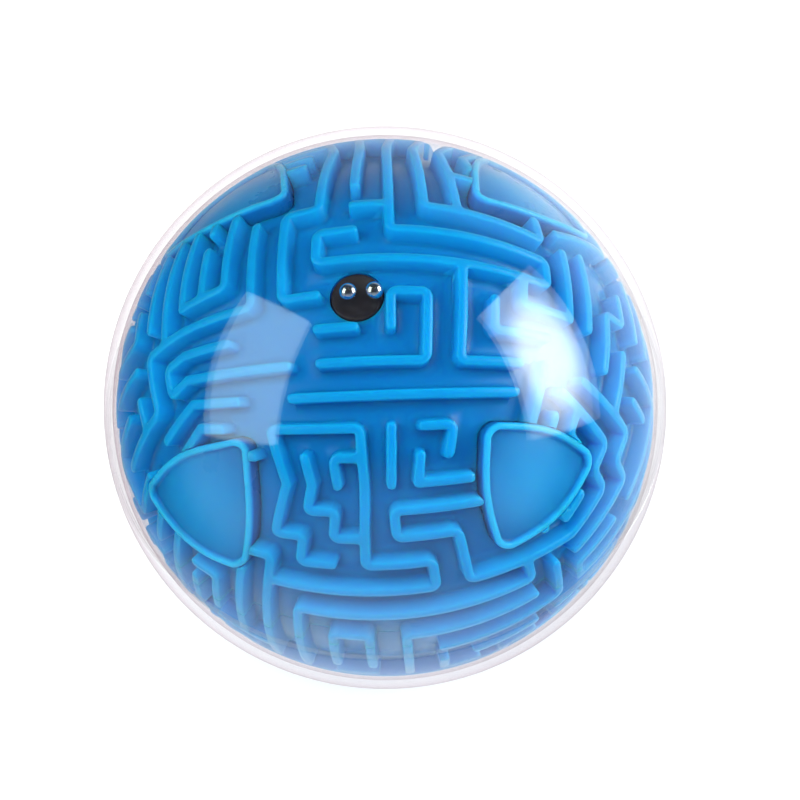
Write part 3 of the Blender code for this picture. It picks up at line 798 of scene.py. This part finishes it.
# ---------------------------------------------------------------- the other pieces
SHELL_RINGS = 44
SHELL_STEPS = 160
SHELL_SHARP = 40
LAP_EDGE = 0.0001         # softened edges of the lap joint
BALL_CUTS = 15            # cuts along each edge of the cube that becomes a ball
# (radius, height) round the cup: underside, flange, side, rim and the dish down to its middle.
CUP_PROFILE = [(0.0, 0.0413), (CUP_R + 0.0012, 0.0413), (CUP_R + 0.0014, 0.0415),
               (CUP_R + 0.0014, 0.0421), (CUP_R + 0.0013, 0.0422), (CUP_R, 0.0422), (CUP_R, 0.0450),
               (CUP_R - 0.00006, 0.04514), (CUP_R - 0.0002, 0.0452), (0.0041, 0.0452),
               (0.0039, 0.04515), (0.0035, 0.04498), (0.0030, 0.04484), (0.0024, 0.04475),
               (0.0016, 0.04471), (0.0008, 0.0447), (0.0, 0.0447)]


def clear_shells():
    """Two half shells that meet in a lap joint: a tongue on the upper one, a step in the lower."""
    inner = OUTER_R - SHELL_T
    tongue = inner + LIP_T
    r = LAP_EDGE
    upper = arc(OUTER_R, SEAM + r, SHELL_RINGS)[::-1]
    upper += [(OUTER_R - r, SEAM), (tongue + r / 2, SEAM), (tongue, SEAM - r / 2),
              (tongue, SEAM - LIP_H + r), (tongue - r, SEAM - LIP_H), (inner, SEAM - LIP_H)]
    upper += arc(inner, SEAM, SHELL_RINGS)
    lower = [(a, -z) for a, z in arc(inner, LIP_H + SEAM, SHELL_RINGS)[::-1]]
    lower += [(tongue + GAP, -LIP_H - SEAM), (tongue + GAP, -SEAM - r), (tongue + GAP + r, -SEAM),
              (OUTER_R - r, -SEAM)]
    lower += [(a, -z) for a, z in arc(OUTER_R, SEAM + r, SHELL_RINGS)]
    return (turned("clear_shell_upper", upper, SHELL_STEPS, "clear", SHELL_SHARP),
            turned("clear_shell_lower", lower, SHELL_STEPS, "clear", SHELL_SHARP))


def finish_cup():
    return turned("finish_cup_visual", CUP_PROFILE, 64, "rubber", 50, cup_turn().to_4x4())


def steel_ball(name, column):
    """A ball without poles: a cube split evenly and drawn to the sphere."""
    bm = bmesh.new()
    bmesh.ops.create_cube(bm, size=1.0)
    bmesh.ops.subdivide_edges(bm, edges=bm.edges, cuts=BALL_CUTS, use_grid_fill=True)
    turn = Matrix.Rotation(math.radians(column), 3, "Y")
    t = math.radians(BALL_REST)
    centre = turn @ (BALL_R_PATH * Vector((0.0, math.sin(t), math.cos(t))))
    for v in bm.verts:
        v.co = centre + v.co.normalized() * BALL_D / 2
    mesh = bpy.data.meshes.new(name)
    bm.to_mesh(mesh)
    bm.free()
    return finish_mesh(name, mesh, "steel", None)


def place_pieces():
    for piece, replaced in zip(core_halves(), ("core_upper", "core_lower")):
        mount(piece, "ball_case", replaced)
    for n, corner in enumerate(CAPS):
        piece = corner_cap("shield_cap_%d" % (n + 1), corner)
        mount(piece, "ball_case", "corner_cap_%d" % (n + 1))
    for piece, replaced in zip(clear_shells(), ("shell_upper", "shell_lower")):
        mount(piece, "ball_case", replaced)
    mount(finish_cup(), "ball_case", "finish_cup")
    for side in ("left", "right"):
        node_name = "steel_ball_" + side
        piece = steel_ball("rolling_ball_%s_visual" % side, BALL_COLUMN[node_name])
        mount(piece, "rolling_ball_" + side, node_name)
    for name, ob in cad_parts.items():
        if name.startswith(("core_screw", "core_dowel")):
            for place in ob.material_slots:
                place.material = MAT["zinc"]


def mount(piece, body, replaced):
    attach(piece, body)
    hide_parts(replaced)


place_pieces()

# ---------------------------------------------------------------- camera
CAM_DISTANCE = 1.02
CAM_ELEVATION = 61.07
CAM_AZIMUTH = 4.35
CAM_ROLL = -5.86
BALL_SHARE = 0.351875     # the ball's radius over the width of the view
SHIFT = (0.01875, 0.009375)         # how far the view is moved off the ball, in widths
SENSOR = 36.0


def camera_axes():
    a, e, roll = (math.radians(x) for x in (CAM_AZIMUTH, CAM_ELEVATION, CAM_ROLL))
    back = Vector((math.sin(a) * math.cos(e), -math.cos(a) * math.cos(e), math.sin(e)))
    right = Vector((math.cos(a), math.sin(a), 0.0))
    up = back.cross(right)
    return (math.cos(roll) * right + math.sin(roll) * up,
            -math.sin(roll) * right + math.cos(roll) * up, back)


RIGHT, UP, BACK = camera_axes()


def add_camera():
    data = bpy.data.cameras.new("photo_camera")
    data.sensor_width = SENSOR
    data.lens = BALL_SHARE / math.tan(math.asin(OUTER_R / CAM_DISTANCE)) * SENSOR
    data.shift_x, data.shift_y = SHIFT
    data.clip_start = 0.05
    data.clip_end = 20.0
    ob = bpy.data.objects.new("photo_camera", data)
    ob.matrix_world = facing(BACK * CAM_DISTANCE, RIGHT, UP, BACK)
    bpy.context.scene.collection.objects.link(ob)
    bpy.context.scene.camera = ob


def facing(place, x, y, z):
    turn = Matrix((x, y, z)).transposed().to_4x4()
    return Matrix.Translation(place) @ turn


# ---------------------------------------------------------------- light and floor
LIGHT_DISTANCE = 0.75
WHITE = (1.0, 1.0, 1.0)
# Soft panels: name, direction, direction of the first side, sides over the distance, radiance,
# colour, brightness by the distance from the panel's middle, and whether the shell mirrors it.
SOFT_LIGHTS = [
    ("softbox_left", (-0.772, -0.052, 0.60), (0.35, 0.83, 0.43), (0.92, 0.62), 2.4,
     (0.88, 1.06, 0.94), None, True),
    ("softbox_right", (0.908, 0.10, 0.35), (-0.337, 0.744, 0.584), (0.94, 0.70), 11.0,
     (0.98, 1.04, 1.0), [(0.0, 1.0), (0.26, 0.92), (0.42, 0.34), (0.62, 0.15)], True),
    ("fill_front", BACK + UP * 0.25 - RIGHT * 0.15, RIGHT, (1.1, 0.9), 5.0, WHITE, None, False),
]
DIM = (0.035, 0.038, 0.042, 1.0)
BACKDROP = (0.95, 0.96, 0.97, 1.0)  # what the camera sees past the floor
# Bright areas of the surroundings: direction, cosines of the angles from it at which the area is
# full and at which it ends, and colour.
GLOWS = [
    ((0.30, 0.90, -0.28), 0.95, 0.66, (0.58, 0.64, 0.66)),
    ((0.70, 0.40, -0.59), 0.95, 0.72, (0.85, 1.02, 1.00)),
    ((-0.04, 0.48, -0.875), 0.90, 0.74, (0.66, 0.59, 0.62)),
    ((-0.10, -0.45, -0.89), 0.97, 0.65, (1.05, 1.25, 1.30)),
    ((0.00, -0.95, -0.30), 0.95, 0.50, (0.40, 0.48, 0.52)),
    (BACK * 0.22 - RIGHT * 0.86 - UP * 0.44, 0.975, 0.89, (0.40, 0.42, 0.44)),
    (BACK * 0.46 + RIGHT * 0.78 - UP * 0.42, 0.985, 0.92, (0.25, 0.26, 0.27)),
]
FLOOR_HALF = 3.0


def soft_light(name, toward, along, size, radiance, colour, falloff, mirrored):
    """A soft panel in a direction from the ball, facing it."""
    z = Vector(toward).normalized()
    x = Vector(along)
    x = (x - z * x.dot(z)).normalized()
    data = bpy.data.lights.new(name, "AREA")
    data.shape = "RECTANGLE"
    data.size, data.size_y = (side * LIGHT_DISTANCE for side in size)
    data.energy = radiance * math.pi * data.size * data.size_y
    data.color = colour
    if falloff:
        shade_panel(data, falloff)
    ob = bpy.data.objects.new(name, data)
    ob.matrix_world = facing(z * LIGHT_DISTANCE, x, z.cross(x), z)
    ob.visible_glossy = mirrored
    bpy.context.scene.collection.objects.link(ob)


def shade_panel(data, falloff):
    """Brightness over the panel, from its middle out to its corners."""
    data.use_nodes = True
    tree = data.node_tree
    place = node(tree, "NewGeometry")
    apart = node(tree, "VectorMath", operation="DISTANCE")
    link(tree, place.outputs["Parametric"], apart.inputs[0])
    apart.inputs[1].default_value = (0.5, 0.5, 0.0)
    link(tree, ramp(tree, apart.outputs["Value"], [(r, (g, g, g)) for r, g in falloff]),
         tree.nodes["Emission"].inputs["Color"])


def glow(tree, heading, toward, inner, outer, colour):
    """A soft-edged bright area of the surroundings, by the cosine of the angle from its middle."""
    near = node(tree, "VectorMath", operation="DOT_PRODUCT")
    link(tree, heading, near.inputs[0])
    near.inputs[1].default_value = Vector(toward).normalized()
    share = mapped(tree, near.outputs["Value"], outer, inner)
    return ramp(tree, share, [(0.0, (0.0, 0.0, 0.0)), (1.0, colour)])


def added(tree, *colours):
    total = colours[0]
    for colour in colours[1:]:
        both = node(tree, "MixRGB", blend_type="ADD")
        both.inputs["Fac"].default_value = 1.0
        link(tree, total, both.inputs["Color1"])
        link(tree, colour, both.inputs["Color2"])
        total = both.outputs["Color"]
    return total


def surroundings():
    """A dim studio with a white backdrop behind, to both sides and low in front."""
    world = bpy.data.worlds.new("studio")
    bpy.context.scene.world = world
    world.use_nodes = True
    tree = world.node_tree
    heading = node(tree, "TexCoord").outputs["Generated"]
    dim = node(tree, "RGB")
    dim.outputs[0].default_value = DIM
    light = added(tree, dim.outputs[0], *[glow(tree, heading, *area) for area in GLOWS])
    seen = node(tree, "LightPath")
    shown = node(tree, "MixRGB")
    link(tree, seen.outputs["Is Camera Ray"], shown.inputs["Fac"])
    link(tree, light, shown.inputs["Color1"])
    shown.inputs["Color2"].default_value = BACKDROP
    link(tree, shown.outputs["Color"], tree.nodes["Background"].inputs["Color"])


def studio_floor():
    bm = bmesh.new()
    bmesh.ops.create_grid(bm, x_segments=12, y_segments=12, size=FLOOR_HALF)
    mesh = bpy.data.meshes.new("studio_floor")
    bm.to_mesh(mesh)
    bm.free()
    mesh.materials.append(MAT["floor"])
    floor = bpy.data.objects.new("studio_floor", mesh)
    floor.location = (0.0, 0.0, -OUTER_R)
    floor.visible_glossy = False      # the backdrop's glow stands for it in reflections
    bpy.context.scene.collection.objects.link(floor)


def studio():
    studio_floor()
    surroundings()
    for light in SOFT_LIGHTS:
        soft_light(*light)
    view = bpy.context.scene.view_settings
    view.view_transform = "Standard"
    view.look = "None"


add_camera()
studio()
